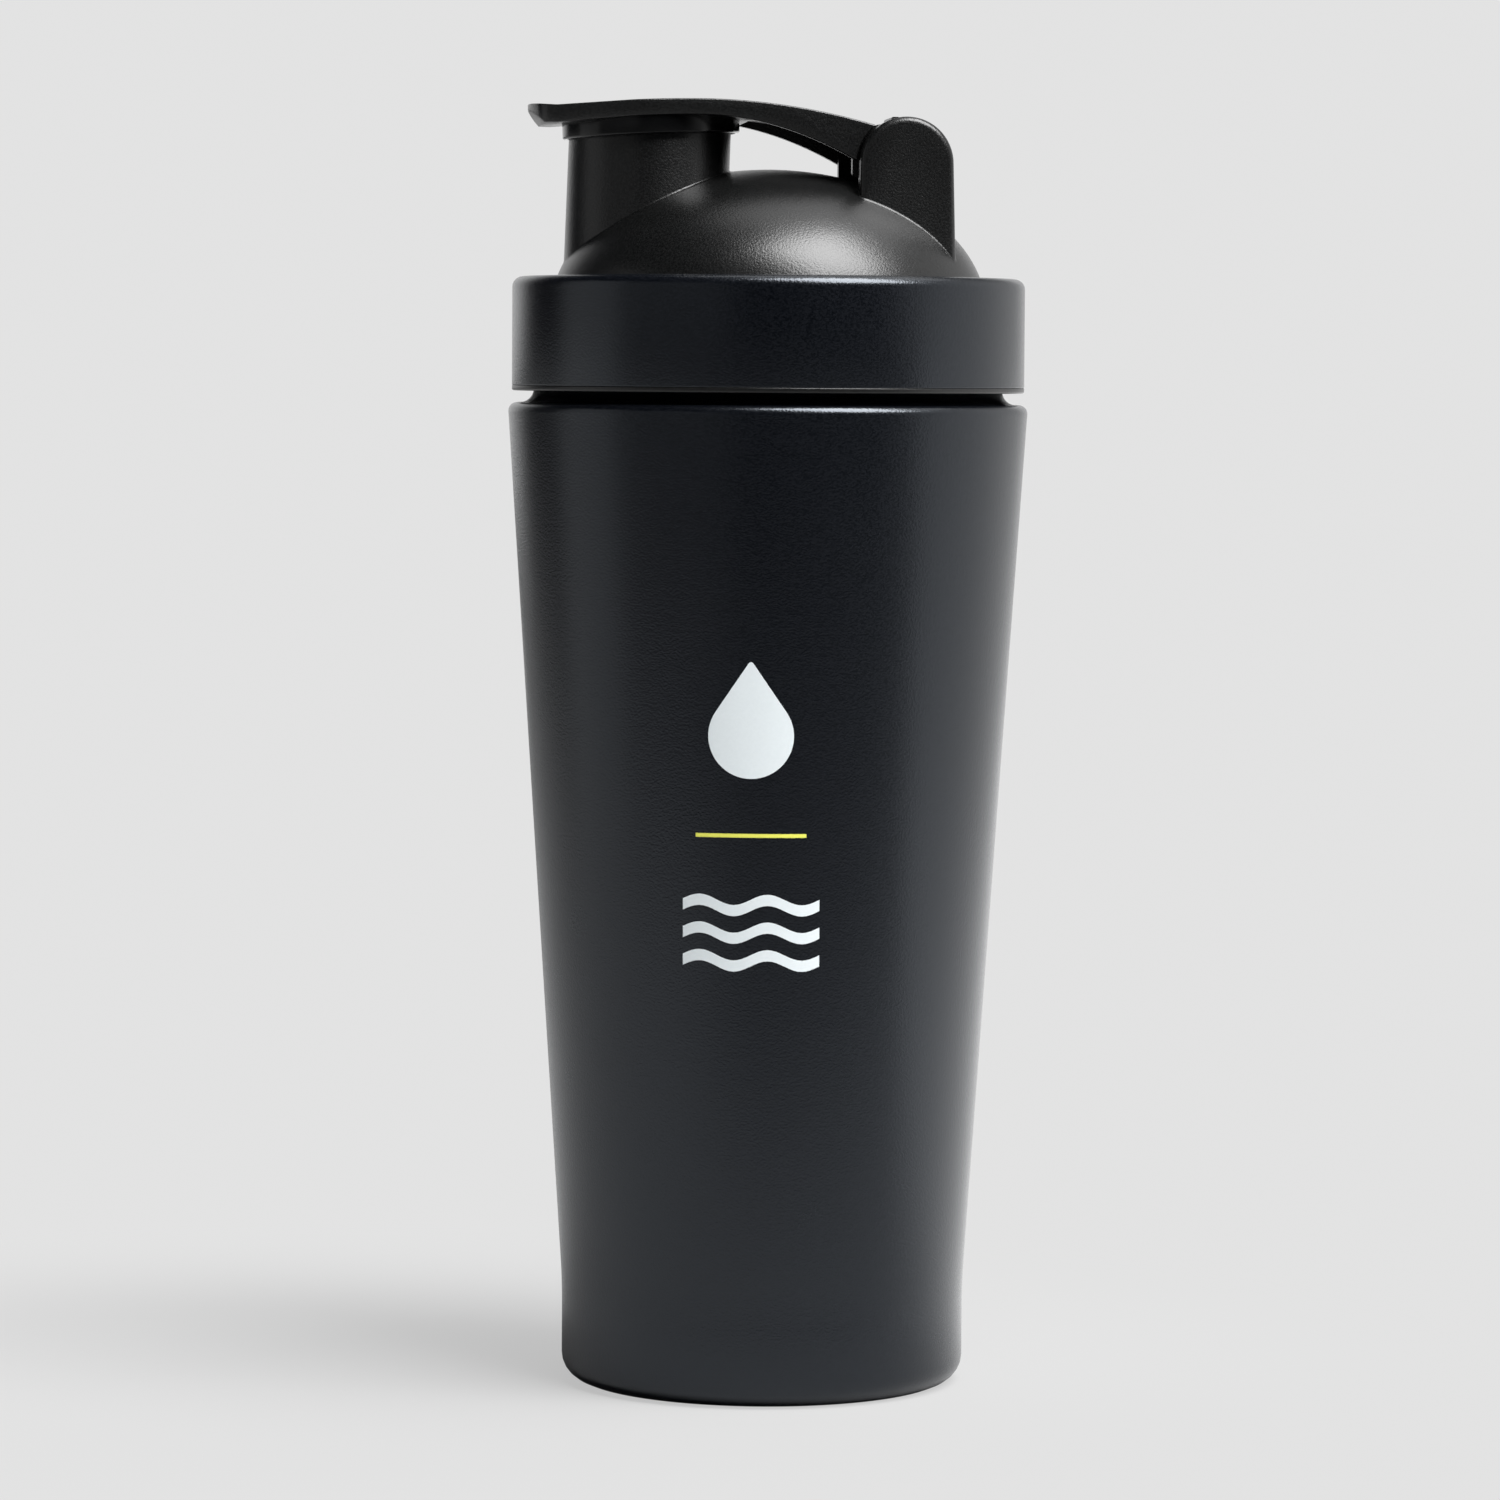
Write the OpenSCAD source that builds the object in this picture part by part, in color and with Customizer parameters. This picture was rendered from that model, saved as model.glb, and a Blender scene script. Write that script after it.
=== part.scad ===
// Steel shaker bottle with a screw lid, a drinking spout and a flip cap.
// Millimetres, Z up. The foot stands on z = 0 and the bottle's axis is Z.
// The spout is on the -X side of the lid and the cap's hinge on the +X side.

/* [Cup] */
// Outer diameter of the straight foot
foot_d = 70; // [62:1:78]
// Height of the straight foot
foot_h = 17; // [10:1:40]
// Outer radius of the foot's bottom corner
foot_corner_r = 4.5; // [3:0.5:7]
// Width of the flat ring that the cup stands on
foot_ring_w = 3; // [2:0.5:6]
// Height of the recess under the base
base_recess = 2.6; // [1.5:0.1:6]
// Outer diameter at the shoulder, the widest place
shoulder_d = 90; // [84:1:110]
// Height of the shoulder's ledge
shoulder_h = 170.3; // [120:0.1:230]
// Outer radius of the shoulder's corner
shoulder_corner_r = 1.5; // [1:0.1:1.8]
// Radius of the hollow between the ledge and the neck
neck_flare_r = 2.4; // [1:0.1:2.6]
// Height of the neck above the ledge
neck_h = 16.7; // [15.5:0.1:24]
// Thickness of the cup's steel
cup_t = 0.6; // [0.5:0.05:0.8]
// Radius of the rolled rim of the mouth
rim_r = 0.9; // [0.8:0.05:1.2]

/* [Thread] */
// Rise of the lid in one turn
thread_pitch = 4; // [3.6:0.1:4.4]
// Turns of thread on the neck and in the lid
thread_turns = 1.5; // [1:0.25:1.75]
// Height of a thread ridge
thread_depth = 1; // [0.8:0.05:1.2]
// Width of a ridge at its root
thread_root_w = 1.6; // [1.2:0.1:1.7]
// Width of a ridge at its crest
thread_crest_w = 0.8; // [0.4:0.1:1]
// Room between a crest and the wall that it faces
thread_gap = 0.35; // [0.3:0.05:0.5]
// Height of the cup's thread above the lid's lower edge
thread_start = 3.2; // [3:0.1:4]

/* [Lid] */
// How far the collar is set in from the shoulder
collar_setback = 0.6; // [0.2:0.1:1]
// Thickness of the steel sleeve round the lid
sleeve_t = 0.5; // [0.4:0.05:0.7]
// Outer radius of the sleeve's top corner
sleeve_corner_r = 1.8; // [1:0.1:2]
// Wall of the lid's threaded skirt
skirt_t = 1.9; // [1.6:0.1:2.4]
// Gap between the shoulder's ledge and the lid
lid_gap = 2; // [1.5:0.1:3]
// Height of the plastic lip under the sleeve
lip_h = 0.9; // [0.8:0.05:2]
// How far the lip stands out past the sleeve
lip_proud = 0; // [0:0.05:0.4]
// Thickness of the lid over the mouth's gasket
lid_plate_t = 2.2; // [1.8:0.1:3]
// Width of the sleeve's top, from its wall to the dome
sleeve_top_w = 7.8; // [7:0.1:8.2]
// Rise of the sleeve's top from its edge to the dome
sleeve_crown_h = 0.2; // [0.1:0.1:1]
// Height of the dome above the sleeve
dome_h = 18.5; // [15:0.1:22]
// Depth of the dome's widest place under the sleeve's top
dome_sink = 5.9; // [4:0.1:8]
// Wall of the dome
dome_t = 2; // [1.6:0.1:2.4]
// Depth of the ring under the lid that holds the strainer
ring_h = 8; // [6:0.5:10]
// Wall of that ring
ring_t = 1.4; // [1.2:0.1:1.6]

/* [Spout] */
// Outer diameter of the spout
spout_d = 28; // [24:0.5:30]
// Wall of the spout
spout_t = 2; // [1.6:0.1:2.4]
// Distance from the dome's edge to the spout's outer wall
spout_inset = 1.9; // [1.6:0.1:4]
// Lean of the spout towards the hinge
spout_lean = 1.9; // [0:0.1:3]

/* [Flip cap] */
// Height of the cap's seat above the dome
seat_rise = 8.9; // [8:0.05:12]
// Slope of the seat, lower towards the thumb tab
seat_tilt = 2.5; // [1:0.1:3]
// Thickness of the cap over the spout
cap_t = 2.65; // [2.2:0.05:3.2]
// Side walls of the cap
cap_wall_t = 2; // [1.6:0.1:2.4]
// Thickness of the cap's arm between its side walls
arm_t = 2.3; // [1.8:0.1:2.6]
// Distance from the spout's middle to the cap's highest place
apex_shift = 7.4; // [4:0.1:12]
// Height of the arm's top above the hinge's axis, beside the ears
arm_top_rise = 7.5; // [7:0.1:8]
// Height of the arm's lower edge above the hinge's axis, beside the ears
arm_low_rise = 0.6; // [0.2:0.1:2]
// Margin of the cap round the seal
cap_margin = 0.45; // [0.4:0.05:1]
// Length of the thumb tab past the seal
tab_len = 5.5; // [4.8:0.1:8]
// Half the width of the tab's straight tip
tab_tip_half_w = 7.5; // [5:0.5:9]
// Corner radius of the tab
tab_corner_r = 4.5; // [3:0.5:6]
// Thickness of the tab's tip
tab_tip_t = 1.1; // [0.8:0.1:1.6]
// Drop of the tab's top from the cap's highest place
tab_drop = 1.15; // [0.8:0.05:1.6]
// Thickness of the tab at its root
tab_t = 3; // [2.6:0.1:3.6]
// Rise of the tab's tip
tab_flare = 0.1; // [0:0.05:0.5]
// Height of the seal's outer skirt
seal_skirt_h = 3.4; // [2.8:0.05:3.8]
// Thickness of the seal's outer skirt
seal_skirt_t = 0.8; // [0.7:0.05:1.1]
// Depth of the seal's plug
seal_plug_h = 3.4; // [2.8:0.1:4]
// Thickness of the seal's web over the spout's rim
seal_web_t = 0.8; // [0.6:0.1:1]

/* [Hinge] */
// Distance from the dome's edge to the hinge's axis
hinge_inset = 14.6; // [13:0.1:18]
// Height of the hinge's axis above the dome
pivot_rise = 0.7; // [0.5:0.1:2]
// Radius of the ears' round tops
ear_r = 8; // [7.5:0.05:9]
// Thickness of an ear
ear_t = 5.3; // [4.5:0.1:6]
// How far the ears stand out past the sides of the cap
ear_out = 3; // [0:0.1:4]
// Slope of the ears' back edges
ear_draft = 1.5; // [0:0.1:3]
// Radius of the cap's barrel on the hinge's axis
barrel_r = 4.6; // [3.6:0.1:4.8]
// Diameter of the hinge pin
pin_d = 3; // [2:0.1:4]
// Depth of the pin's blind hole in the front ear
pin_blind = 3.6; // [2.5:0.1:4]

/* [Strainer] */
// Height of the strainer's rim
strainer_h = 6; // [4:0.5:7.5]
// Thickness of the strainer's grid
grid_t = 1.8; // [1.2:0.1:2.5]
// Wall of the strainer's rim
strainer_rim_t = 1.4; // [1:0.1:2]
// Diameter of a hole in the grid
hole_d = 5.6; // [4:0.1:6]
// Distance between the holes
hole_pitch = 7.4; // [6.8:0.1:9]

/* [Gasket] */
// Thickness of the mouth's gasket
gasket_t = 1.9; // [1.5:0.1:3]

/* [Hidden] */
$fn = 96;

// Clearances: between pieces that move, round soft pieces, in a slip fit and in a running fit
move_gap = 0.3;
soft_gap = 0.15;
slip_gap = 0.05;
run_gap = 0.05;
press_gap = 0.02;
// Room between the ears' round tops and the hollow ends of the arm
ear_gap = 0.5;
// Room for the seal on both sides of the spout's wall
seal_gap = 0.5;
// Extra depth of a cut past the face that it opens, and of a foot sunk in its wall
cut = 1;
sunk = 0.25;
arc_steps = 8;
dome_steps = 18;
curve_steps = 14;
thread_segments = 48;

// Cup
foot_r = foot_d / 2;
shoulder_r = shoulder_d / 2;
rim_z = shoulder_h + neck_h;
foot_ring_r = foot_r - foot_corner_r - foot_ring_w;

// Lid, from the outside in
collar_r = shoulder_r - collar_setback;
skirt_r = collar_r - sleeve_t - slip_gap;
skirt_in_r = skirt_r - skirt_t;
neck_r = skirt_in_r - thread_gap - thread_depth;
lid_z = shoulder_h + lid_gap;
thread_z = lid_z + thread_start;
gasket_z = rim_z + soft_gap;
ceiling_z = gasket_z + gasket_t + soft_gap;
sleeve_edge_z = ceiling_z + lid_plate_t + slip_gap + sleeve_t;
crown_z = sleeve_edge_z + sleeve_crown_h;

// Dome: an ellipse of revolution
dome_r = collar_r - sleeve_top_w;
dome_z = crown_z - dome_sink;
dome_b = dome_h + dome_sink;
dome_a = dome_r / sqrt(1 - pow(dome_sink / dome_b, 2));
dome_top = crown_z + dome_h;
inner_a = dome_a - dome_t;
inner_b = dome_b - dome_t;
ring_in_r = ellipse_r(inner_a, inner_b, ceiling_z);

// Spout and seal
spout_r = spout_d / 2;
bore_r = spout_r - spout_t;
spout_x = -(dome_r - spout_inset - spout_r);
seat_z = dome_top + seat_rise;
seal_in_r = spout_r + seal_gap;
seal_r = seal_in_r + seal_skirt_t;
plug_r = bore_r - seal_gap;
plug_taper = 0.4;
plug_t = 1.65;
boss_r = plug_r - plug_t - soft_gap;
boss_h = 2.4;
rim_drop = seal_web_t + move_gap;

// Hinge and cap
pivot_x = dome_r - hinge_inset;
pivot_z = dome_top + pivot_rise;
cap_half_w = seal_r + cap_margin;
ear_y = cap_half_w + ear_out;
knuckle_half_w = ear_y - ear_t - move_gap;
pin_r = pin_d / 2;
ear_clear_r = ear_r + ear_gap;
apex_x = spout_x + apex_shift;
apex_z = seat_z + cap_t;
arm_end_x = pivot_x - ear_clear_r;
arm_top_z = pivot_z + arm_top_rise;
arm_low_z = pivot_z + arm_low_rise;
wall_low_z = seat_z - slip_gap;
tab_root_x = spout_x - seal_r;
tab_x = tab_root_x - tab_len;
tab_top_z = apex_z - tab_drop;
tab_low_z = tab_top_z - tab_t;
// Directions from the hinge's axis between which the web joins the barrel to the arm
web_from = 112;
web_to = 150;

function arc(c, r, from, to) =
    [for (i = [0:arc_steps]) c + r * [cos(from + (to - from) * i / arc_steps),
                                      sin(from + (to - from) * i / arc_steps)]];
function ellipse_r(a, b, z) = a * sqrt(1 - pow((z - dome_z) / b, 2));
// Points of a dome from its foot at height z up to its top
function dome(a, b, z) = let (start = asin((z - dome_z) / b))
    [for (i = [0:dome_steps]) let (t = start + (90 - start) * i / dome_steps)
        [i == dome_steps ? 0 : a * cos(t), dome_z + b * sin(t)]];
function reversed(list) = [for (i = [len(list) - 1:-1:0]) list[i]];
function flipped(list) = [for (p = reversed(list)) [p.x, -p.y]];
// Height of a curve that falls from its apex to an end point
function fall(x, end_x, top, low) = top - (top - low) * pow((x - apex_x) / (end_x - apex_x), 2);
function cap_top(x) = x < apex_x ? fall(x, tab_root_x, apex_z, tab_top_z)
                                 : fall(x, arm_end_x, apex_z, arm_top_z);
function cap_low(x) = x < apex_x ? fall(x, tab_root_x, wall_low_z, tab_low_z)
                                 : fall(x, arm_end_x, wall_low_z, arm_low_z);
function steps(from, to) = [for (i = [0:curve_steps]) from + (to - from) * i / curve_steps];

// The cup's steel: a lathe outline of even thickness from the foot ring to the rolled rim
module cup_wall() {
    corner = [shoulder_r - shoulder_corner_r, shoulder_h - shoulder_corner_r];
    reach = corner - [foot_r, foot_h];
    slope = atan2(reach.y, reach.x) - asin(shoulder_corner_r / norm(reach)) - 90;
    foot = [foot_r - foot_corner_r, foot_corner_r];
    hollow = [neck_r + neck_flare_r, shoulder_h + neck_flare_r];
    curl = [neck_r - rim_r, rim_z - rim_r];
    curl_end = 360 - acos((rim_r - cup_t) / rim_r);
    color("#1d1e21") {
        rotate_extrude() polygon(concat(
            [[foot_ring_r, 0]],
            arc(foot, foot_corner_r, -90, 0),
            [[foot_r, foot_h]],
            arc(corner, shoulder_corner_r, slope, 90),
            arc(hollow, neck_flare_r, 270, 180),
            arc(curl, rim_r, 0, curl_end),
            arc(hollow, neck_flare_r + cup_t, 180, 270),
            arc(corner, shoulder_corner_r - cup_t, 90, slope),
            [[foot_r - cup_t, foot_h - cup_t * tan(slope / 2)]],
            arc(foot, foot_corner_r - cup_t, 0, -90),
            [[foot_ring_r, cup_t]]));
        thread(neck_r - sunk, thread_root_w, neck_r + thread_depth, thread_crest_w, thread_z, true);
    }
}

// The stamped base, lapped on the cup's foot ring from inside
module cup_base() {
    flange_r = foot_r - foot_corner_r - move_gap;
    knee_r = foot_ring_r - cup_t;
    step_r = knee_r - base_recess;
    color("#b4b6ba") rotate_extrude() polygon([
        [0, base_recess], [step_r, base_recess], [knee_r, cup_t], [flange_r, cup_t],
        [flange_r, 2 * cup_t], [knee_r + cup_t / 2, 2 * cup_t],
        [step_r + cup_t / 2, base_recess + cup_t], [0, base_recess + cup_t]]);
}

// A screw ridge between two radii, each with its own width, fading out at both ends
module thread(r_in, w_in, r_out, w_out, z, outside) {
    n = round(thread_turns * thread_segments);
    lead = 5;
    fade = 0.15;
    rings = [for (i = [0:n]) let (a = 360 * i / thread_segments, h = z + thread_pitch * a / 360,
                                  s = max(fade, min(1, min(i, n - i) / lead)),
                                  from = outside ? r_in : r_out - (r_out - r_in) * s,
                                  to = outside ? r_in + (r_out - r_in) * s : r_out)
        for (p = [[from, -w_in / 2], [to, -w_out / 2], [to, w_out / 2], [from, w_in / 2]])
            [p.x * cos(a), p.x * sin(a), h + p.y]];
    sides = [for (i = [0:n - 1], j = [0:3]) let (k = (j + 1) % 4, a = 4 * i, b = a + 4)
        for (f = [[a + j, a + k, b + k], [a + j, b + k, b + j]]) f];
    polyhedron(rings, concat(sides, [[3, 2, 1], [3, 1, 0]],
                             [for (f = [[0, 1, 2], [0, 2, 3]]) [for (p = f) 4 * n + p]]));
}

// The ring that seals the lid on the cup's rim
module lid_gasket() {
    inner_r = ring_in_r + ring_t + soft_gap;
    color("#3a3b3d") translate([0, 0, gasket_z]) difference() {
        cylinder(r = skirt_in_r - soft_gap, h = gasket_t);
        translate([0, 0, -cut]) cylinder(r = inner_r, h = gasket_t + 2 * cut);
    }
}

// The room under the dome
module dome_room() {
    rotate_extrude() polygon(concat([[0, ceiling_z]], dome(inner_a, inner_b, ceiling_z)));
}

// Places its children on the cap's sloping seat over the spout
module at_seat() {
    translate([spout_x, 0, seat_z]) rotate([0, -seat_tilt, 0]) children();
}

// A cylinder along the leaning spout, from the dome's foot to above the rim
module spout_rod(r) {
    length = seat_z - crown_z;
    translate([spout_x, 0, seat_z]) rotate([0, spout_lean, 0])
        translate([0, 0, -length]) cylinder(r = r, h = length + cut);
}

module spout() {
    big = 4 * spout_d;
    difference() {
        spout_rod(spout_r);
        at_seat() translate([-big / 2, -big / 2, -rim_drop]) cube(big);
        dome_room();
    }
}

// One ear's outline: a round top on the hinge's axis and straight sides down to the dome
module ear_outline() {
    foot_z = crown_z - pivot_z;
    circle(r = ear_r);
    polygon([[-ear_r, foot_z], [ear_r - foot_z * tan(ear_draft), foot_z], [ear_r, 0], [-ear_r, 0]]);
}

module ears() {
    difference() {
        for (side = [-1, 1])
            translate([pivot_x, side > 0 ? ear_y : ear_t - ear_y, pivot_z]) rotate([90, 0, 0])
                linear_extrude(ear_t) ear_outline();
        dome_room();
    }
}

// A cylinder on the hinge's axis between two places along Y
module hinge_rod(r, from, to) {
    translate([pivot_x, from, pivot_z]) rotate([-90, 0, 0]) cylinder(r = r, h = to - from);
}

// The moulded lid: threaded skirt, lip, dome, strainer ring, spout and ears
module lid_core() {
    edge_r = sleeve_corner_r - sleeve_t;
    top_z = sleeve_edge_z - sleeve_t - slip_gap;
    foot_z = crown_z - sleeve_t - slip_gap;
    lip_r = collar_r + lip_proud;
    lip_round = 0.3;
    ring_z = ceiling_z - ring_h;
    color("#1b1c1e") difference() {
        union() {
            rotate_extrude() polygon(concat(
                [[skirt_in_r, lid_z]],
                arc([lip_r - lip_round, lid_z + lip_round], lip_round, -90, 0),
                [[lip_r, lid_z + lip_h], [skirt_r, lid_z + lip_h]],
                arc([skirt_r - edge_r, top_z - edge_r], edge_r, 0, 90),
                dome(dome_a, dome_b, foot_z),
                reversed(dome(inner_a, inner_b, ceiling_z)),
                [[ring_in_r, ring_z], [ring_in_r + ring_t, ring_z], [ring_in_r + ring_t, ceiling_z],
                 [skirt_in_r, ceiling_z]]));
            spout();
            ears();
            thread(neck_r + thread_gap, thread_crest_w, skirt_in_r + sunk, thread_root_w,
                   thread_z - thread_pitch / 2, false);
        }
        spout_rod(bore_r);
        hinge_rod(pin_r + press_gap, knuckle_half_w, ear_y + cut);
        hinge_rod(pin_r + press_gap, ear_t - ear_y - pin_blind, -knuckle_half_w);
    }
}

// The steel sleeve over the skirt, turned in over the lid's top
module lid_collar() {
    corner = [collar_r - sleeve_corner_r, sleeve_edge_z - sleeve_corner_r];
    hole_r = ellipse_r(dome_a, dome_b, crown_z - sleeve_t - slip_gap) + slip_gap;
    color("#202124") rotate_extrude() polygon(concat(
        [[collar_r - sleeve_t, lid_z + lip_h], [collar_r, lid_z + lip_h]],
        arc(corner, sleeve_corner_r, 0, 90),
        [[hole_r, crown_z], [hole_r, crown_z - sleeve_t]],
        arc(corner, sleeve_corner_r - sleeve_t, 90, 0)));
}

module hinge_pin() {
    end_gap = 0.2;
    color("#c0c2c6") hinge_rod(pin_r, ear_t - ear_y - pin_blind + end_gap, ear_y - end_gap);
}

// The mixing grid, pushed up into the ring under the lid
module strainer() {
    r = ring_in_r - move_gap;
    z = ceiling_z - move_gap - strainer_h;
    reach = r - strainer_rim_t - hole_d / 2;
    rows = floor(reach / (hole_pitch * sin(60)));
    color("#26272a") translate([0, 0, z]) difference() {
        cylinder(r = r, h = strainer_h);
        translate([0, 0, grid_t]) cylinder(r = r - strainer_rim_t, h = strainer_h);
        for (row = [-rows:rows], col = [-rows - 1:rows + 1]) {
            place = hole_pitch * [col + (row % 2 == 0 ? 0 : 0.5), row * sin(60)];
            if (norm(place) <= reach - cut)
                translate([place.x, place.y, -cut]) cylinder(d = hole_d, h = grid_t + 2 * cut);
        }
    }
}

// The cap seen from the front: crowned plate, thumb tab and the deepening walls of the arm
module cap_side() {
    chamfer = tab_top_z + tab_flare - tab_tip_t - tab_low_z;
    polygon(concat(
        [[tab_x + chamfer, tab_low_z], [tab_x, tab_low_z + chamfer], [tab_x, tab_top_z + tab_flare]],
        [for (x = steps(tab_root_x, apex_x)) [x, cap_top(x)]],
        [for (x = steps(apex_x, pivot_x)) [x, cap_top(x)]],
        [for (x = reversed(steps(apex_x, pivot_x))) [x, cap_low(x)]],
        [for (x = reversed(steps(tab_root_x, apex_x))) [x, cap_low(x)]]));
}

// The cap seen from above: a round end over the spout, drawn in to the thumb tab
module cap_plan() {
    tip = [tab_x + tab_corner_r, tab_tip_half_w];
    to_tip = tip - [spout_x, 0];
    lean = atan2(to_tip.y, to_tip.x) - acos((cap_half_w - tab_corner_r) / norm(to_tip));
    half = concat([[pivot_x, cap_half_w]], arc([spout_x, 0], cap_half_w, 90, lean),
                  arc(tip, tab_corner_r, lean, 180));
    polygon(concat(half, flipped(half)));
}

// Extrudes a front outline evenly about the bottle's middle plane
module across(half_w) {
    translate([0, half_w, 0]) rotate([90, 0, 0]) linear_extrude(2 * half_w) children();
}

module cap_shell() {
    high = 2 * (apex_z - pivot_z);
    channel_x = spout_x + seal_r + cap_wall_t / 2;
    difference() {
        intersection() {
            across(cap_half_w) cap_side();
            translate([0, 0, pivot_z - high]) linear_extrude(2 * high) cap_plan();
        }
        hinge_rod(ear_clear_r, -cap_half_w - cut, cap_half_w + cut);
        across(cap_half_w - cap_wall_t) polygon(concat(
            [for (x = steps(channel_x, pivot_x)) [x, cap_top(x) - arm_t]],
            [[pivot_x, pivot_z - high], [channel_x, pivot_z - high]]));
        at_seat() translate([0, 0, -high]) cylinder(r = seal_r + slip_gap, h = high);
    }
}

// The web from the arm to the barrel between the ears
module knuckle() {
    far = 2 * ear_r;
    across(knuckle_half_w) {
        translate([pivot_x, pivot_z]) circle(r = barrel_r);
        intersection() {
            cap_side();
            translate([pivot_x, pivot_z])
                polygon([[0, 0], far * [cos(web_from), sin(web_from)], far * [-1, 1],
                         far * [cos(web_to), sin(web_to)]]);
        }
    }
}

module flip_cap() {
    color("#1c1d1f") difference() {
        union() {
            cap_shell();
            intersection() {
                knuckle();
                hinge_rod(ear_clear_r + cap_wall_t / 2, -cap_half_w, cap_half_w);
            }
            at_seat() translate([0, 0, -boss_h]) cylinder(r = boss_r, h = boss_h + sunk);
        }
        hinge_rod(pin_r + run_gap, -cap_half_w, cap_half_w);
    }
}

// The glossy seal: a skirt round the spout's rim, a web over it and a plug inside it
module spout_seal() {
    round_r = 0.3;
    plug_in_r = boss_r + soft_gap;
    color("#131416") at_seat() rotate_extrude() polygon(concat(
        [[plug_in_r, 0], [plug_in_r, -seal_plug_h], [plug_r - plug_taper, -seal_plug_h],
         [plug_r, -seal_web_t - cut], [plug_r, -seal_web_t], [seal_in_r, -seal_web_t],
         [seal_in_r, -seal_skirt_h]],
        arc([seal_r - round_r, round_r - seal_skirt_h], round_r, -90, 0),
        [[seal_r, 0]]));
}

cup_wall();
cup_base();
lid_gasket();
lid_core();
lid_collar();
hinge_pin();
strainer();
flip_cap();
spout_seal();
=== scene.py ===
import math
from contextlib import contextmanager

import bmesh
import bpy
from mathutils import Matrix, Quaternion, Vector


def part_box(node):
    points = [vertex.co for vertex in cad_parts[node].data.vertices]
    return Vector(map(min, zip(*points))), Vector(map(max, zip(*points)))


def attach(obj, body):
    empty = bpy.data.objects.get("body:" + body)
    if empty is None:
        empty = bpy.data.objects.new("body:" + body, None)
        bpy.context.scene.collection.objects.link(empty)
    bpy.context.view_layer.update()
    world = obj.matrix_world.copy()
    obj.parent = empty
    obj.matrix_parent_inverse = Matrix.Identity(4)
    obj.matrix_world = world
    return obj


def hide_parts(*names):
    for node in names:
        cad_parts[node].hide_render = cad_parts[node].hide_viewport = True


# Steel shaker bottle with a screw lid, a drinking spout and a flip cap.
# Metres, Z up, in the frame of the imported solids: the spout is on the -X side, the hinge on +X.

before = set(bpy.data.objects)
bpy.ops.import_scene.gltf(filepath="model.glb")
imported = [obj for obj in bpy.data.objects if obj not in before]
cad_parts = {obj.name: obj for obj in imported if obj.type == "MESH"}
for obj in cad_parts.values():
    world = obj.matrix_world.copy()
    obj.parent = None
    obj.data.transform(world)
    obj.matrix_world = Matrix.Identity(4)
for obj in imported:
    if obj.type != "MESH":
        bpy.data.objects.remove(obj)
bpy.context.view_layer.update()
mm = 0.001

# Sizes that the frame gives
shoulder_r, rim_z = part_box("cup_wall")[1].xz
lip_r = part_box("lid_core")[1].x
lid_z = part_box("lid_core")[0].z
collar_r, crown_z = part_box("lid_collar")[1].xz
collar_low_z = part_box("lid_collar")[0].z
cap_half_w, apex_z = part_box("flip_cap")[1].yz
pin_low, pin_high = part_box("hinge_pin")
pivot = (pin_low + pin_high) / 2
pin_r = (pin_high.x - pin_low.x) / 2

# Cup
foot_r = 35 * mm
foot_h = 17 * mm
foot_corner_r = 4.5 * mm
foot_bend = 7 * mm
foot_ring_r = 27.5 * mm
shoulder_corner_r = 1.5 * mm
ledge_z = rim_z - 16.7 * mm
neck_r = 40.6 * mm
neck_flare_r = 2.4 * mm
cup_t = 0.6 * mm
rim_r = 0.9 * mm
wall_spread = (shoulder_r - foot_r) / (ledge_z - shoulder_corner_r - foot_h)
base_recess = 2.6 * mm
base_dish = 0.4 * mm
base_step_bend = 1.2 * mm
base_knee_bend = 0.8 * mm
base_gap = 0.3 * mm
coat_end_z = ledge_z + 5 * mm
thread_pitch = 4 * mm
thread_turns = 1.5
thread_depth = 1 * mm
thread_gap = 0.35 * mm
thread_half_w = 0.8 * mm
thread_sunk = 0.25 * mm
thread_runout = 12 * mm
thread_z = lid_z + 3.2 * mm

# Print on the cup's front
print_azimuth = math.radians(-8.4)
ink_t = 0.02 * mm
ink_sunk = 0.05 * mm
film_low_z = 60 * mm
film_high_z = 140 * mm
drop_r = 7.2 * mm
drop_h = 20 * mm
drop_tip_r = 0.5 * mm
drop_z = 115 * mm
line_len = 18.6 * mm
line_t = 0.65 * mm
line_z = 98.2 * mm
wave_len = 23 * mm
wave_rise = 0.9 * mm
wave_t = 1.9 * mm
wave_z = 77 * mm
wave_step = 4.7 * mm

# Lid
sleeve_t = 0.5 * mm
sleeve_corner_r = 1.8 * mm
sleeve_lip_r = 0.2 * mm
sleeve_gap = 0.15 * mm
sleeve_edge_z = crown_z - 0.2 * mm
slip_gap = 0.05 * mm
skirt_r = collar_r - sleeve_t - slip_gap
skirt_in_r = skirt_r - 1.9 * mm
lip_z = collar_low_z
lip_in_bend = 0.3 * mm
lip_out_bend = 0.35 * mm
lip_top_bend = 0.15 * mm
skirt_bend = 1 * mm
ceiling_z = rim_z + 2.2 * mm
dome_r = collar_r - 7.8 * mm
dome_sink = 5.9 * mm
dome_b = 18.5 * mm + dome_sink
dome_z = crown_z - dome_sink
dome_a = dome_r / math.sqrt(1 - (dome_sink / dome_b) ** 2)
dome_t = 2 * mm
root_fillet = 0.35 * mm
ring_h = 8 * mm
ring_t = 1.4 * mm
ring_bend = 0.4 * mm

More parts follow.
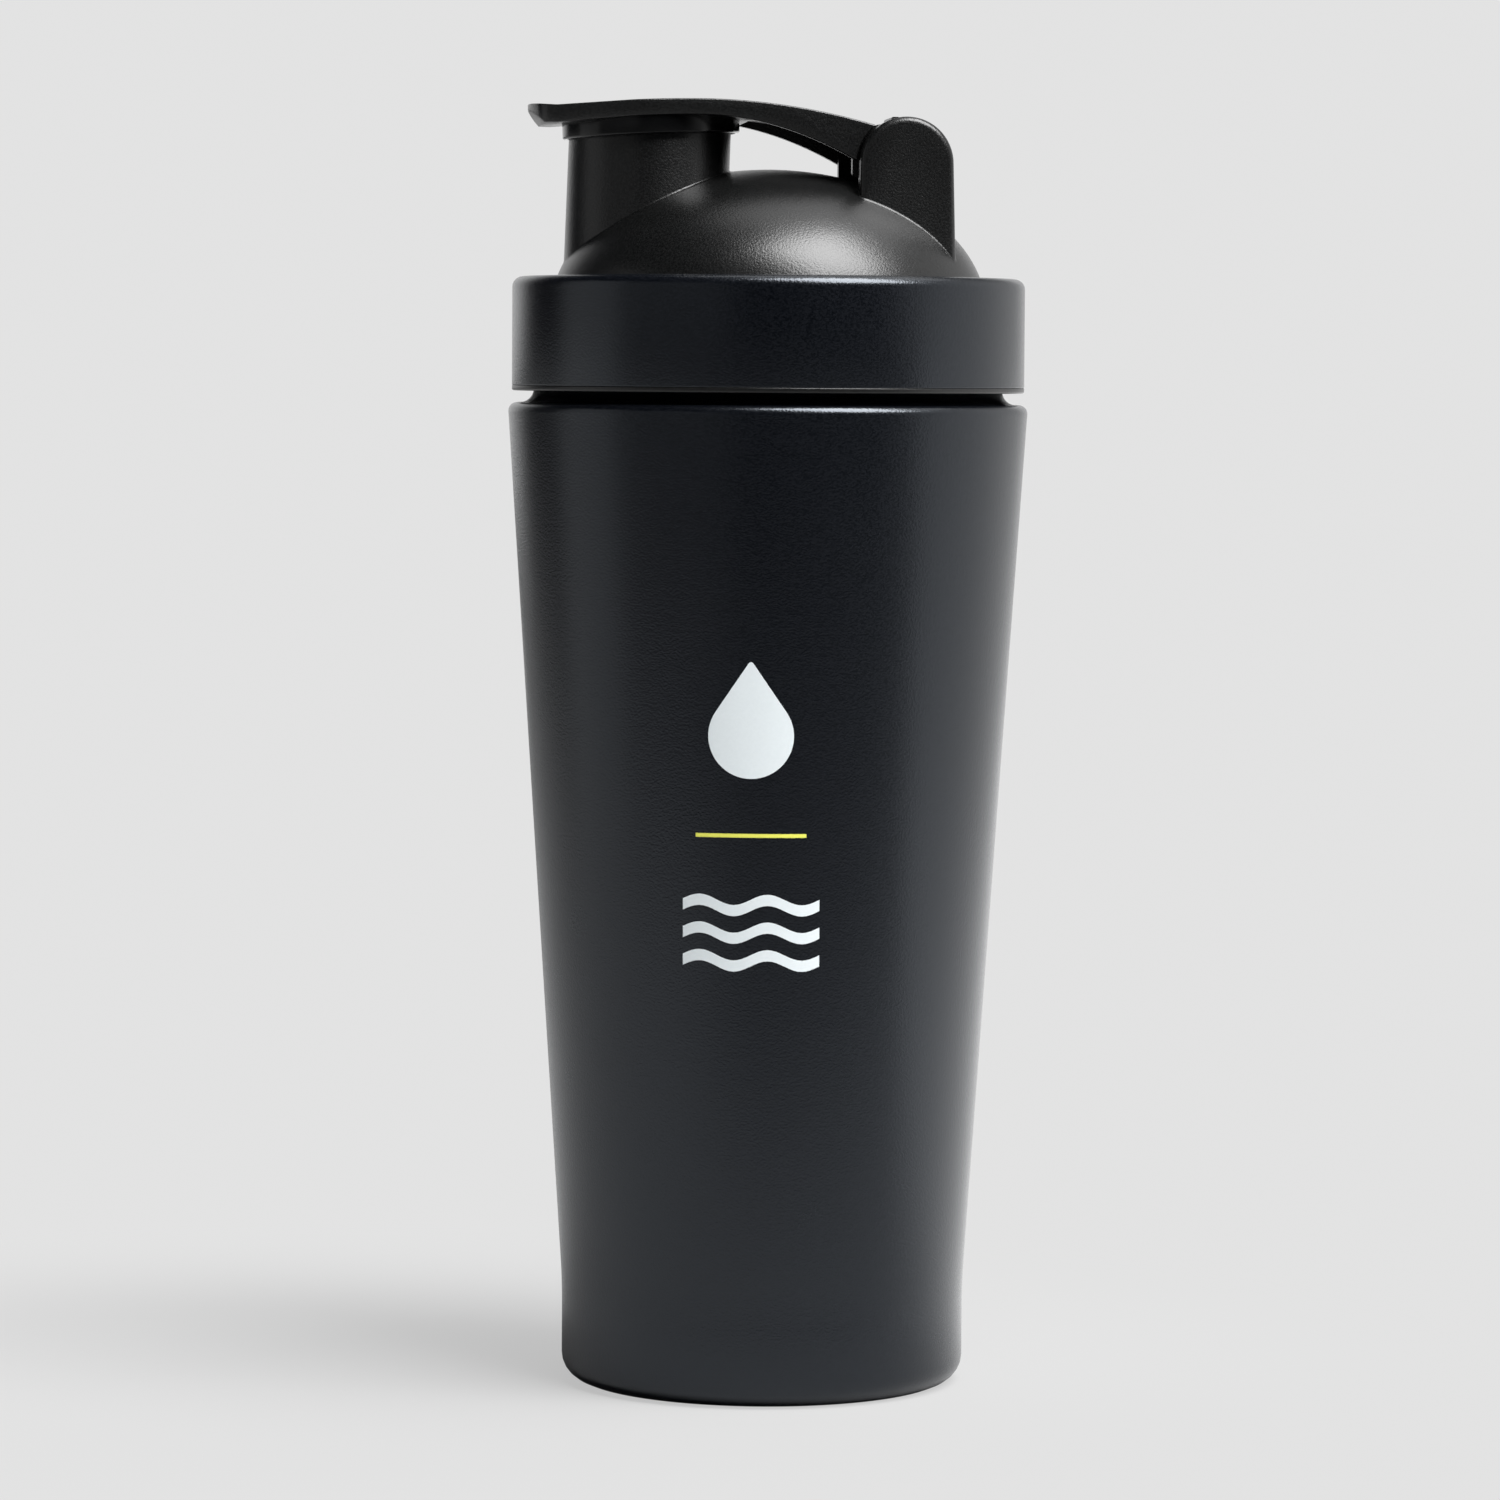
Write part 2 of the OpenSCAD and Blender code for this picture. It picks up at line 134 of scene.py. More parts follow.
# Spout and seal
spout_r = 14 * mm
spout_t = 2 * mm
spout_x = -20.7 * mm
spout_lean = math.radians(1.9)
spout_h = 28 * mm
spout_rim_r = 0.6 * mm
bore_r = spout_r - spout_t
bore_flare = 0.5 * mm
bore_bend = 0.4 * mm
bore_h = 34 * mm
seat_z = apex_z - 2.65 * mm
seat_tilt = math.radians(2.5)
rim_drop = 1.1 * mm
seal_in_r = spout_r + 0.5 * mm
seal_r = seal_in_r + 0.8 * mm
seal_h = 3.4 * mm
seal_web_t = 0.8 * mm
seal_bend = 0.4 * mm
seal_edge_r = 0.2 * mm
plug_r = bore_r - 0.5 * mm
plug_h = 3.4 * mm
plug_t = 1.65 * mm
plug_taper = 0.4 * mm
plug_bend = 0.4 * mm
plug_in_bend = 0.3 * mm
boss_gap = 0.15 * mm
boss_r = plug_r - plug_t - boss_gap
boss_h = 2.4 * mm
boss_bend = 0.3 * mm
boss_sunk = 0.4 * mm

# Hinge
ear_r = 8 * mm
ear_t = 5.3 * mm
ear_y = cap_half_w + 3 * mm
ear_draft = math.radians(1.5)
ear_edge_r = 1.1 * mm
ear_clear_r = ear_r + 0.5 * mm
barrel_r = 4.6 * mm
knuckle_half_w = ear_y - ear_t - 0.3 * mm
web_steps = [2.4 * mm, 4 * mm, 5.6 * mm]
web_reach = 8.2 * mm
web_front_z = pivot.z + 4.75 * mm
gusset_t = 2 * mm
gusset_reach = 8.9 * mm
gusset_low_z = pivot.z - 2.3 * mm
gusset_corner_r = 0.8 * mm
stop_t = 1.5 * mm
stop_half_w = 6 * mm
stop_bend = 0.4 * mm
stop_top_z = pivot.z + ear_r + 0.4 * mm
knuckle_z = pivot.z + 3 * mm
pin_edge_r = 0.25 * mm
pin_hole_gap = 0.02 * mm
pin_bore_gap = 0.05 * mm
dimple_rim = 0.7 * mm
dimple_depth = 0.15 * mm

# Flip cap
tab_lead = 0.35 * mm
tab_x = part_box("flip_cap")[0].x - tab_lead
apex_x = spout_x + 7.4 * mm
wall_low_z = seat_z - 0.05 * mm
cap_wall_t = 2 * mm
cap_rim_r = 0.75 * mm
cap_low_rim_r = 0.3 * mm
arm_t = 2.3 * mm
arm_end_x = pivot.x - ear_clear_r
arm_top_z = pivot.z + 7.5 * mm
arm_low_z = pivot.z + 0.6 * mm
tab_root_x = spout_x - seal_r
tab_top_z = apex_z - 1.15 * mm
tab_low_z = tab_top_z - 3 * mm
tab_tip_z = tab_top_z + 0.45 * mm
tab_tip_t = 1.1 * mm
tab_front_r = 30 * mm
tab_corner_r = 4.5 * mm
tab_tip_half_w = 7.5 * mm
tab_rim_share = 0.4

# Fineness of the meshes
round_steps = 192
corner_steps = 6
dome_steps = 28
thread_steps = 96
smooth_angle = math.radians(35)


class Value:
    """A shader value: arithmetic on it adds Math nodes to its finish."""

    def __init__(self, finish, socket):
        self.finish = finish
        self.socket = socket

    def math(self, operation, first, second):
        return self.finish.node("ShaderNodeMath", {"operation": operation}, {0: first, 1: second})

    def __add__(self, other):
        return self.math("ADD", self, other)

    def __sub__(self, other):
        return self.math("SUBTRACT", self, other)

    def __rsub__(self, other):
        return self.math("SUBTRACT", other, self)

    def __mul__(self, other):
        return self.math("MULTIPLY", self, other)

    def __pow__(self, other):
        return self.math("POWER", self, other)

    __radd__ = __add__
    __rmul__ = __mul__


class Finish:
    """A material in the making, with one method that adds any node to it."""

    def __init__(self, name, tree=None):
        if tree is None:
            self.material = bpy.data.materials.new(name)
            self.material.use_nodes = True
            tree = self.material.node_tree
        self.tree = tree
        self.tree.nodes.clear()
        self.place = None

    def node(self, kind, settings=None, inputs=None, output=0):
        made = self.tree.nodes.new(kind)
        for name, setting in (settings or {}).items():
            setattr(made, name, setting)
        for socket, value in (inputs or {}).items():
            if isinstance(value, Value):
                self.tree.links.new(value.socket, made.inputs[socket])
            else:
                made.inputs[socket].default_value = value
        return Value(self, made.outputs[output]) if made.outputs else made

    def spot(self):
        """The place on the piece, in the bottle's own frame."""
        if self.place is None:
            self.place = self.node("ShaderNodeTexCoord", output="Object")
        return self.place

    def axes(self):
        """The X, Y and Z of the place."""
        parts = self.node("ShaderNodeSeparateXYZ", {}, {"Vector": self.spot()})
        return [Value(self, socket) for socket in parts.socket.node.outputs]

    def grain(self, size, detail=2.0, at=None):
        """Even noise from 0 to 1 with lumps of this size."""
        return self.node("ShaderNodeTexNoise", {"normalize": True},
                         {"Vector": at or self.spot(), "Scale": 1 / size, "Detail": detail})

    def between(self, share, low, high):
        """A colour between two colours."""
        return self.node("ShaderNodeMix", {"data_type": "RGBA"},
                         {0: share, 6: (*low, 1), 7: (*high, 1)}, output=2)

    def fade(self, value, start, end):
        """Rises smoothly from 0 to 1 as a value goes from start to end."""
        return self.node("ShaderNodeMapRange", {"interpolation_type": "SMOOTHSTEP"},
                         {"Value": value, "From Min": start, "From Max": end})

    def dents(self, height, depth, strength=1.0):
        """Normals of a surface that rises by a depth where the height is 1."""
        return self.node("ShaderNodeBump", {}, {"Strength": strength, "Distance": depth,
                                                "Height": height}, output="Normal")

    def surface(self, **inputs):
        """The shader itself: spaces in socket names are written as underscores."""
        sockets = {name.replace("_", " "): value for name, value in inputs.items()}
        shader = self.node("ShaderNodeBsdfPrincipled", {}, sockets)
        self.node("ShaderNodeOutputMaterial", {}, {"Surface": shader})
        return self.material


def black_coat():
    """Fine matt powder coat, faintly blue, with the slight waviness of sprayed steel."""
    f = Finish("black_coat")
    powder = f.fade(f.grain(0.38 * mm, 1.0), 0.3, 0.7)
    cloud = f.grain(22 * mm, 3.0)
    return f.surface(
        Base_Color=f.between(powder, (0.0004, 0.0008, 0.0018), (0.0036, 0.0042, 0.0060)),
        Roughness=0.21 + 0.05 * cloud + 0.03 * powder,
        IOR=1.55,
        Specular_Tint=(0.84, 0.91, 1.0, 1.0),
        Normal=f.dents(powder, 0.012 * mm))


def grained_plastic():
    """Moulded plastic with a fine spark-eroded grain."""
    f = Finish("grained_plastic")
    grain = f.fade(f.grain(0.36 * mm, 1.0), 0.25, 0.75)
    cloud = f.grain(14 * mm, 3.0)
    return f.surface(
        Base_Color=f.between(grain, (0.0010, 0.0011, 0.0011), (0.0054, 0.0056, 0.0056)),
        Roughness=0.29 + 0.03 * cloud + 0.03 * grain,
        Normal=f.dents(grain, 0.016 * mm))


def polished_seal():
    """Polished soft plastic with faint moulding ripples."""
    f = Finish("polished_seal")
    ripple = f.grain(2.6 * mm, 1.0)
    smear = f.grain(5 * mm, 4.0)
    return f.surface(
        Base_Color=f.between(smear, (0.0022, 0.0023, 0.0024), (0.0034, 0.0035, 0.0037)),
        Roughness=0.12 + 0.14 * smear,
        Specular_IOR_Level=0.3,
        Normal=f.dents(ripple, 0.05 * mm, 0.5))


def spun_steel():
    """Drawn stainless steel, brushed round the bottle's axis."""
    f = Finish("spun_steel")
    x, y, z = f.axes()
    radius = (x * x + y * y) ** 0.5
    rings = f.node("ShaderNodeCombineXYZ", {}, {"X": radius * 40, "Y": z * 40, "Z": x * 0.6})
    brush = f.grain(11 * mm, 4.0, rings)
    cloud = f.grain(16 * mm, 3.0)
    return f.surface(
        Base_Color=f.between(cloud, (0.50, 0.50, 0.50), (0.60, 0.60, 0.595)),
        Metallic=1.0,
        Roughness=0.22 + 0.14 * brush + 0.06 * cloud,
        Normal=f.dents(brush, 0.004 * mm, 0.4))


def ground_pin_steel():
    """Ground steel of the hinge pin, with fine lines across it."""
    f = Finish("ground_pin_steel")
    lines = f.node("ShaderNodeVectorMath", {"operation": "MULTIPLY"}, {0: f.spot(), 1: (1, 30, 1)})
    brush = f.grain(4 * mm, 3.0, lines)
    return f.surface(
        Base_Color=f.between(brush, (0.44, 0.45, 0.46), (0.56, 0.57, 0.58)),
        Metallic=1.0,
        Roughness=0.28 + 0.14 * brush)


def dull_silicone():
    """Matt silicone of the gasket, a little dusty."""
    f = Finish("dull_silicone")
    dust = f.grain(1.8 * mm, 4.0)
    return f.surface(
        Base_Color=f.between(dust, (0.042, 0.042, 0.044), (0.060, 0.060, 0.062)),
        Roughness=0.58 + 0.14 * dust,
        Normal=f.dents(dust, 0.01 * mm, 0.4))


def satin_strainer_plastic():
    """Satin plastic of the strainer, with faint flow marks."""
    f = Finish("satin_strainer_plastic")
    flow = f.grain(7 * mm, 4.0)
    return f.surface(
        Base_Color=f.between(flow, (0.015, 0.015, 0.016), (0.022, 0.022, 0.023)),
        Roughness=0.34 + 0.14 * flow,
        Normal=f.dents(flow, 0.02 * mm, 0.3))


def ink(name, low, high):
    """Screen printed ink, thin enough to show the coat's grain in it."""
    f = Finish(name)
    screen = f.grain(0.5 * mm, 2.0)
    return f.surface(
        Base_Color=f.between(screen, low, high),
        Roughness=0.46 + 0.1 * screen,
        Normal=f.dents(screen, 0.006 * mm, 0.3))


coat = black_coat()
plastic = grained_plastic()
gloss = polished_seal()
steel = spun_steel()
pin_steel = ground_pin_steel()
silicone = dull_silicone()
strainer_plastic = satin_strainer_plastic()
white_ink = ink("white_ink", (0.80, 0.86, 0.88), (0.86, 0.92, 0.94))
yellow_ink = ink("yellow_ink", (0.84, 0.84, 0.11), (0.92, 0.92, 0.16))


def only(piece):
    """Selects this piece and nothing else."""
    bpy.ops.object.select_all(action="DESELECT")
    piece.select_set(True)
    bpy.context.view_layer.objects.active = piece


@contextmanager
def editing(piece):
    """Edit mode on one piece, with all of it selected at first."""
    only(piece)
    bpy.ops.object.mode_set(mode="EDIT")
    bpy.ops.mesh.select_mode(type="VERT")
    bpy.ops.mesh.select_all(action="SELECT")
    yield
    bpy.ops.object.mode_set(mode="OBJECT")


def pick(kind, rule):
    """In edit mode, selects just the vertices, edges or faces that the rule is true of."""
    bpy.ops.mesh.select_mode(type=kind)
    bpy.ops.mesh.select_all(action="DESELECT")
    data = bpy.context.object.data
    mesh = bmesh.from_edit_mesh(data)
    mesh.normal_update()
    for part in {"VERT": mesh.verts, "EDGE": mesh.edges, "FACE": mesh.faces}[kind]:
        if rule(part):
            part.select_set(True)
    mesh.select_flush_mode()
    bmesh.update_edit_mesh(data)


def pick_folds(rule):
    """In edit mode, selects just the edges between two faces that the rule is true of."""
    pick("EDGE", lambda e: len(e.link_faces) == 2 and rule(e, *e.link_faces))


def named(name):
    """Names the primitive just added and puts its place into its mesh."""
    piece = bpy.context.object
    piece.name = piece.data.name = name
    bpy.ops.object.transform_apply(location=True, rotation=True, scale=True)
    return piece


def modify(piece, kind, **settings):
    """Adds a modifier and applies it."""
    only(piece)
    modifier = piece.modifiers.new(kind, kind)
    for name, setting in settings.items():
        setattr(modifier, name, setting)
    bpy.ops.object.modifier_apply(modifier=modifier.name)


def boolean(piece, operation, *tools):
    """Joins the tools to a piece or cuts it with them, and uses them up."""
    for tool in tools:
        modify(piece, "BOOLEAN", operation=operation, solver="EXACT", object=tool)
        bpy.data.objects.remove(tool)


def join(piece, other):
    """Puts another piece's mesh into this one's."""
    only(piece)
    other.select_set(True)
    bpy.ops.object.join()


def near(a, b):
    return (a - b).length < 0.002 * mm


def trace(name, corners):
    """A closed line of edges in the XZ plane through corners (x, z); a third number rounds one."""
    points = [Vector((c[0], 0, c[1])) for c in corners]
    bpy.ops.object.select_all(action="DESELECT")
    bpy.ops.mesh.primitive_plane_add(size=mm, location=points[0])
    piece = named(name)
    with editing(piece):
        bpy.ops.mesh.merge(type="CENTER")
        for start, end in zip(points, points[1:]):
            bpy.ops.mesh.extrude_region_move(TRANSFORM_OT_translate={"value": end - start})
        pick("VERT", lambda v: near(v.co, points[0]) or near(v.co, points[-1]))
        bpy.ops.mesh.edge_face_add()
        for i, corner in enumerate(corners):
            if len(corner) > 2:
                back = points[i - 1] - points[i]
                ahead = points[(i + 1) % len(points)] - points[i]
                pick("VERT", lambda v: near(v.co, points[i]))
                bpy.ops.mesh.bevel(affect="VERTICES", segments=corner_steps,
                                   offset=corner[2] / math.tan(back.angle(ahead) / 2))
    return piece


def tidy(reach=0.001 * mm):
    """In edit mode, closes seams and poles, drops loose edges and turns every face outwards."""
    bpy.ops.mesh.select_mode(type="VERT")
    bpy.ops.mesh.select_all(action="SELECT")
    bpy.ops.mesh.remove_doubles(threshold=reach)
    bpy.ops.mesh.dissolve_degenerate(threshold=reach)
    bpy.ops.mesh.delete_loose()
    bpy.ops.mesh.select_all(action="SELECT")
    bpy.ops.mesh.fill_holes(sides=8)
    bpy.ops.mesh.normals_make_consistent(inside=False)


def lathe(name, corners):
    """A traced outline spun round the Z axis."""
    piece = trace(name, corners)
    with editing(piece):
        bpy.ops.mesh.spin(steps=round_steps, angle=2 * math.pi, center=(0, 0, 0), axis=(0, 0, 1))
        tidy()
    return piece


def slab(name, corners, low_y, high_y):
    """A traced outline filled and extruded along Y."""
    piece = trace(name, corners)
    with editing(piece):
        bpy.ops.mesh.edge_face_add()
        bpy.ops.transform.translate(value=(0, low_y, 0))
        bpy.ops.mesh.extrude_region_move(TRANSFORM_OT_translate={"value": (0, high_y - low_y, 0)})
        tidy()
    return piece


def rod(name, radius, low_y, high_y, steps=96):
    """A round rod on the hinge's axis."""
    bpy.ops.object.select_all(action="DESELECT")
    bpy.ops.mesh.primitive_cylinder_add(vertices=steps, radius=radius, depth=high_y - low_y,
                                        location=(pivot.x, (low_y + high_y) / 2, pivot.z),
                                        rotation=(math.pi / 2, 0, 0))
    return named(name)


def bar(name, sections):
    """A bar along X of rectangles (x, half width, low, high), each extruded from the last."""
    x, half, low, high = sections[0]
    bpy.ops.object.select_all(action="DESELECT")
    bpy.ops.mesh.primitive_plane_add(size=2, location=(x, 0, (low + high) / 2),
                                     rotation=(0, -math.pi / 2, 0))
    piece = named(name)
    with editing(piece):
        bpy.ops.transform.resize(value=(1, half, (high - low) / 2),
                                 center_override=(x, 0, (low + high) / 2))
        for last, (x, half, low, high) in zip(sections, sections[1:]):
            rise = (low + high - last[2] - last[3]) / 2
            bpy.ops.mesh.extrude_region_move(
                TRANSFORM_OT_translate={"value": (x - last[0], 0, rise)})
            bpy.ops.transform.resize(value=(1, half / last[1], (high - low) / (last[3] - last[2])),
                                     center_override=(x, 0, (low + high) / 2))
        tidy()
        bpy.ops.mesh.dissolve_limited(angle_limit=math.radians(0.05))
    return piece


def round_edges(piece, rule, width, steps, clamp=True):
    """Bevels the edges whose two faces the rule accepts."""
    with editing(piece):
        pick_folds(rule)
        bpy.ops.mesh.bevel(affect="EDGES", offset=width, segments=steps, clamp_overlap=clamp)


def finish(piece, body, slot, material, *nodes):
    """Shades a piece, paints it and puts it on its body in place of its CAD nodes."""
    only(piece)
    bpy.ops.object.shade_smooth_by_angle(angle=smooth_angle)
    if not piece.data.materials:
        piece.data.materials.append(material)
    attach(piece, body)
    if nodes:
        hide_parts(*nodes)


def paint(piece, material, rule):
    """Gives the faces that the rule is true of a second material."""
    piece.data.materials.append(material)
    index = len(piece.data.materials) - 1
    for face in piece.data.polygons:
        if rule(face):
            face.material_index = index


def thread_ridge(name, foot_radius, crest_radius, start_z):
    """A screw ridge on a wall, drawn thin at both ends."""
    half, crest_half = thread_half_w, thread_half_w / 2
    end_z = start_z + thread_pitch * thread_turns
    ridge = trace(name, [(foot_radius, start_z - half), (crest_radius, start_z - crest_half),
                         (crest_radius, start_z + crest_half), (foot_radius, start_z + half)])
    with editing(ridge):
        bpy.ops.mesh.edge_face_add()
    modify(ridge, "SCREW", axis="Z", angle=2 * math.pi * thread_turns, steps=thread_steps,
           render_steps=thread_steps, screw_offset=end_z - start_z, use_normal_calculate=True)
    sink = foot_radius - crest_radius
    with editing(ridge):
        tidy()
        pick("VERT", lambda v: abs(v.co.xy.length - foot_radius) < 0.1 * mm)
        bpy.ops.mesh.hide(unselected=False)
        for side, z in ((1, start_z), (-1, end_z)):
            pick("VERT", lambda v: (abs(v.co.y) < 0.01 * mm and abs(v.co.z - z) < half
                                    and v.co.x * side > 0))
            bpy.ops.transform.translate(value=(side * sink, 0, 0), use_proportional_edit=True,
                                        use_proportional_connected=True,
                                        proportional_size=thread_runout)
        bpy.ops.mesh.reveal()
    return ridge


def wall_r(z):
    """Radius of the cup's tapered wall at a height."""
    return foot_r + wall_spread * (z - foot_h)


def cup_shell():
    """The cup's steel from its foot ring to the rolled rim, coated outside and bare inside."""
    corner_r = wall_r(ledge_z)
    inner_corner_r = corner_r - cup_t * (1 + wall_spread)
    foot_bend_r = foot_bend / wall_spread
    rim_in_r = neck_r - 2 * rim_r
    shell = lathe("cup_shell", [
        (foot_ring_r, 0),
        (foot_r, 0, foot_corner_r),
        (foot_r, foot_h, foot_bend_r),
        (corner_r, ledge_z, shoulder_corner_r),
        (neck_r, ledge_z, neck_flare_r),
        (neck_r, rim_z, rim_r),
        (rim_in_r, rim_z, rim_r),
        (rim_in_r, rim_z - 2 * rim_r, rim_r),
        (neck_r - cup_t, rim_z - 2 * rim_r),
        (neck_r - cup_t, ledge_z - cup_t, neck_flare_r + cup_t),
        (inner_corner_r, ledge_z - cup_t, shoulder_corner_r - cup_t),
        (foot_r - cup_t, foot_h, foot_bend_r),
        (foot_r - cup_t, cup_t, foot_corner_r - cup_t),
        (foot_ring_r, cup_t)])
    join(shell, thread_ridge("neck_thread", neck_r - thread_sunk, neck_r + thread_depth, thread_z))
    shell.data.materials.append(coat)

    def bare(face):
        place, outward = face.center, face.normal.xy.dot(face.center.xy.normalized())
        ledge = abs(place.z - ledge_z) < cup_t / 2 and face.normal.z > 0.9
        return place.z > coat_end_z or (outward < 0.1 and place.z > cup_t / 2 and not ledge)

    paint(shell, steel, bare)
    finish(shell, "cup", "coated_steel", coat, "cup_wall")


def printed(name, corners, material):
    """A flat mark, pressed as a film of ink on the front of the cup's wall."""
    mark = slab(name, corners, -1.5 * shoulder_r, -0.5 * shoulder_r)
    with editing(mark):
        bpy.ops.transform.rotate(value=-print_azimuth, orient_axis="Z", center_override=(0, 0, 0))
    low_r, high_r = wall_r(film_low_z), wall_r(film_high_z)
    film = lathe("film", [(low_r - ink_sunk, film_low_z), (low_r + ink_t, film_low_z),
                          (high_r + ink_t, film_high_z), (high_r - ink_sunk, film_high_z)])
    boolean(mark, "INTERSECT", film)
    finish(mark, "cup", "coated_steel", material)


def drop_mark():
    """A plain drop: a round foot and two tangents up to a soft tip."""
    tip = drop_h - drop_r
    touch = math.acos(drop_r / tip)
    turns = [math.pi / 2 - touch - (2 * math.pi - 2 * touch) * i / 40 for i in range(41)]
    foot = [(drop_r * math.cos(t), drop_z + drop_r * math.sin(t)) for t in turns]
    printed("drop_mark", [(0, drop_z + tip, drop_tip_r), *foot], white_ink)


def wave_mark(name, z):
    """A plain wavy stroke."""
    places = [wave_len * (i / 32 - 0.5) for i in range(33)]
    middle = [z + wave_rise * math.sin(4 * math.pi * x / wave_len) for x in places]
    upper = [(x, m + wave_t / 2) for x, m in zip(places, middle)]
    lower = [(x, m - wave_t / 2) for x, m in zip(places, middle)]
    printed(name, upper + lower[::-1], white_ink)


def line_mark():
    """A thin plain line between the two marks."""
    half, low, high = line_len / 2, line_z - line_t / 2, line_z + line_t / 2
    printed("line_mark", [(-half, low), (half, low), (half, high), (-half, high)], yellow_ink)


def cup_bottom():
    """The stamped base inside the foot ring."""
    knee_r = foot_ring_r - cup_t
    step_r = knee_r - base_recess
    flange_r = foot_r - foot_corner_r - base_gap
    base = lathe("cup_bottom", [
        (0, base_recess - base_dish),
        (step_r, base_recess, base_step_bend),
        (knee_r, cup_t, base_knee_bend),
        (flange_r, cup_t),
        (flange_r, 2 * cup_t),
        (knee_r + cup_t / 2, 2 * cup_t, base_knee_bend),
        (step_r + cup_t / 2, base_recess + cup_t, base_step_bend),
        (0, base_recess + cup_t - base_dish)])
    finish(base, "cup", "bare_steel", steel, "cup_base")


def collar():
    """The coated steel sleeve, turned in over the lid's top."""
    top_slope = (crown_z - sleeve_edge_z) / (collar_r - sleeve_corner_r - dome_r)
    corner_z = sleeve_edge_z - top_slope * sleeve_corner_r / 2
    hole_r = dome_r + sleeve_gap
    sleeve = lathe("steel_collar", [
        (collar_r - sleeve_t, collar_low_z),
        (collar_r, collar_low_z, sleeve_lip_r),
        (collar_r, corner_z, sleeve_corner_r),
        (hole_r, crown_z, sleeve_lip_r),
        (hole_r, crown_z - sleeve_t),
        (collar_r - sleeve_t, corner_z - sleeve_t, sleeve_corner_r - sleeve_t)])
    finish(sleeve, "lid", "coated_steel", coat, "lid_collar")


def dome_arc(inset, low_z):
    """Points of the dome's outline, set in from its outside, from a height up to its top."""
    a, b = dome_a - inset, dome_b - inset
    start = math.asin((low_z - dome_z) / b)
    turns = [start + (math.pi / 2 - start) * i / dome_steps for i in range(dome_steps)]
    return [(a * math.cos(t), dome_z + b * math.sin(t)) for t in turns] + [(0, dome_z + b)]


def dome_plug(inset):
    """A solid of the room under the dome, to cut with."""
    arc = dome_arc(inset, ceiling_z)
    low_z = ceiling_z - 4 * mm
    return lathe("dome_plug", [(0, low_z), (arc[0][0], low_z), *arc])


def at_seat(piece, angle):
    """Moves a piece spun on the Z axis to the spout's seat and leans its top towards +X."""
    seat = (spout_x, 0, seat_z)
    with editing(piece):
        bpy.ops.transform.translate(value=seat)
        bpy.ops.transform.rotate(value=-angle, orient_axis="Y", center_override=seat)


def tilt_rim(piece):
    """Turns the rim of a piece on the spout's axis level with the cap's seat."""
    with editing(piece):
        pick("VERT", lambda v: v.co.z > -spout_h / 2)
        bpy.ops.transform.rotate(value=seat_tilt + spout_lean, orient_axis="Y",
                                 center_override=(0, 0, -rim_drop))


def spout_body():
    """The solid spout with its rounded rim, ended inside the dome's wall."""
    spout = lathe("spout_body", [(0, -spout_h), (spout_r, -spout_h),
                                 (spout_r, -rim_drop, spout_rim_r), (0, -rim_drop)])
    tilt_rim(spout)
    at_seat(spout, spout_lean)
    boolean(spout, "DIFFERENCE", dome_plug(dome_t / 2))
    return spout


def spout_bore():
    """The spout's bore, flared a little at its rim, to cut with."""
    past_rim = mm - rim_drop
    bore = lathe("spout_bore", [(0, -bore_h), (bore_r, -bore_h),
                                (bore_r, -rim_drop - bore_flare, bore_bend),
                                (bore_r + bore_flare + mm, past_rim), (0, past_rim)])
    tilt_rim(bore)
    at_seat(bore, spout_lean)
    return bore


def ear(name, low_y, high_y):
    """One ear: a round top on the hinge's axis and straight sides, with pillowed edges."""
    foot_z = crown_z - 1 * mm
    turns = [math.radians(a) for a in range(180, -1, -6)]
    top = [(pivot.x + ear_r * math.cos(t), pivot.z + ear_r * math.sin(t)) for t in turns]
    back_x = pivot.x + ear_r + (pivot.z - foot_z) * math.tan(ear_draft)
    piece = slab(name, [(pivot.x - ear_r, foot_z), *top, (back_x, foot_z)], low_y, high_y)

    def rim(edge, first, second):
        flat = max(abs(first.normal.y), abs(second.normal.y)) > 0.9
        side = min(abs(first.normal.y), abs(second.normal.y)) < 0.1
        return flat and side and max(v.co.z for v in edge.verts) > foot_z + mm

    round_edges(piece, rim, ear_edge_r, 5)
    boolean(piece, "DIFFERENCE", dome_plug(dome_t / 2))
    return piece


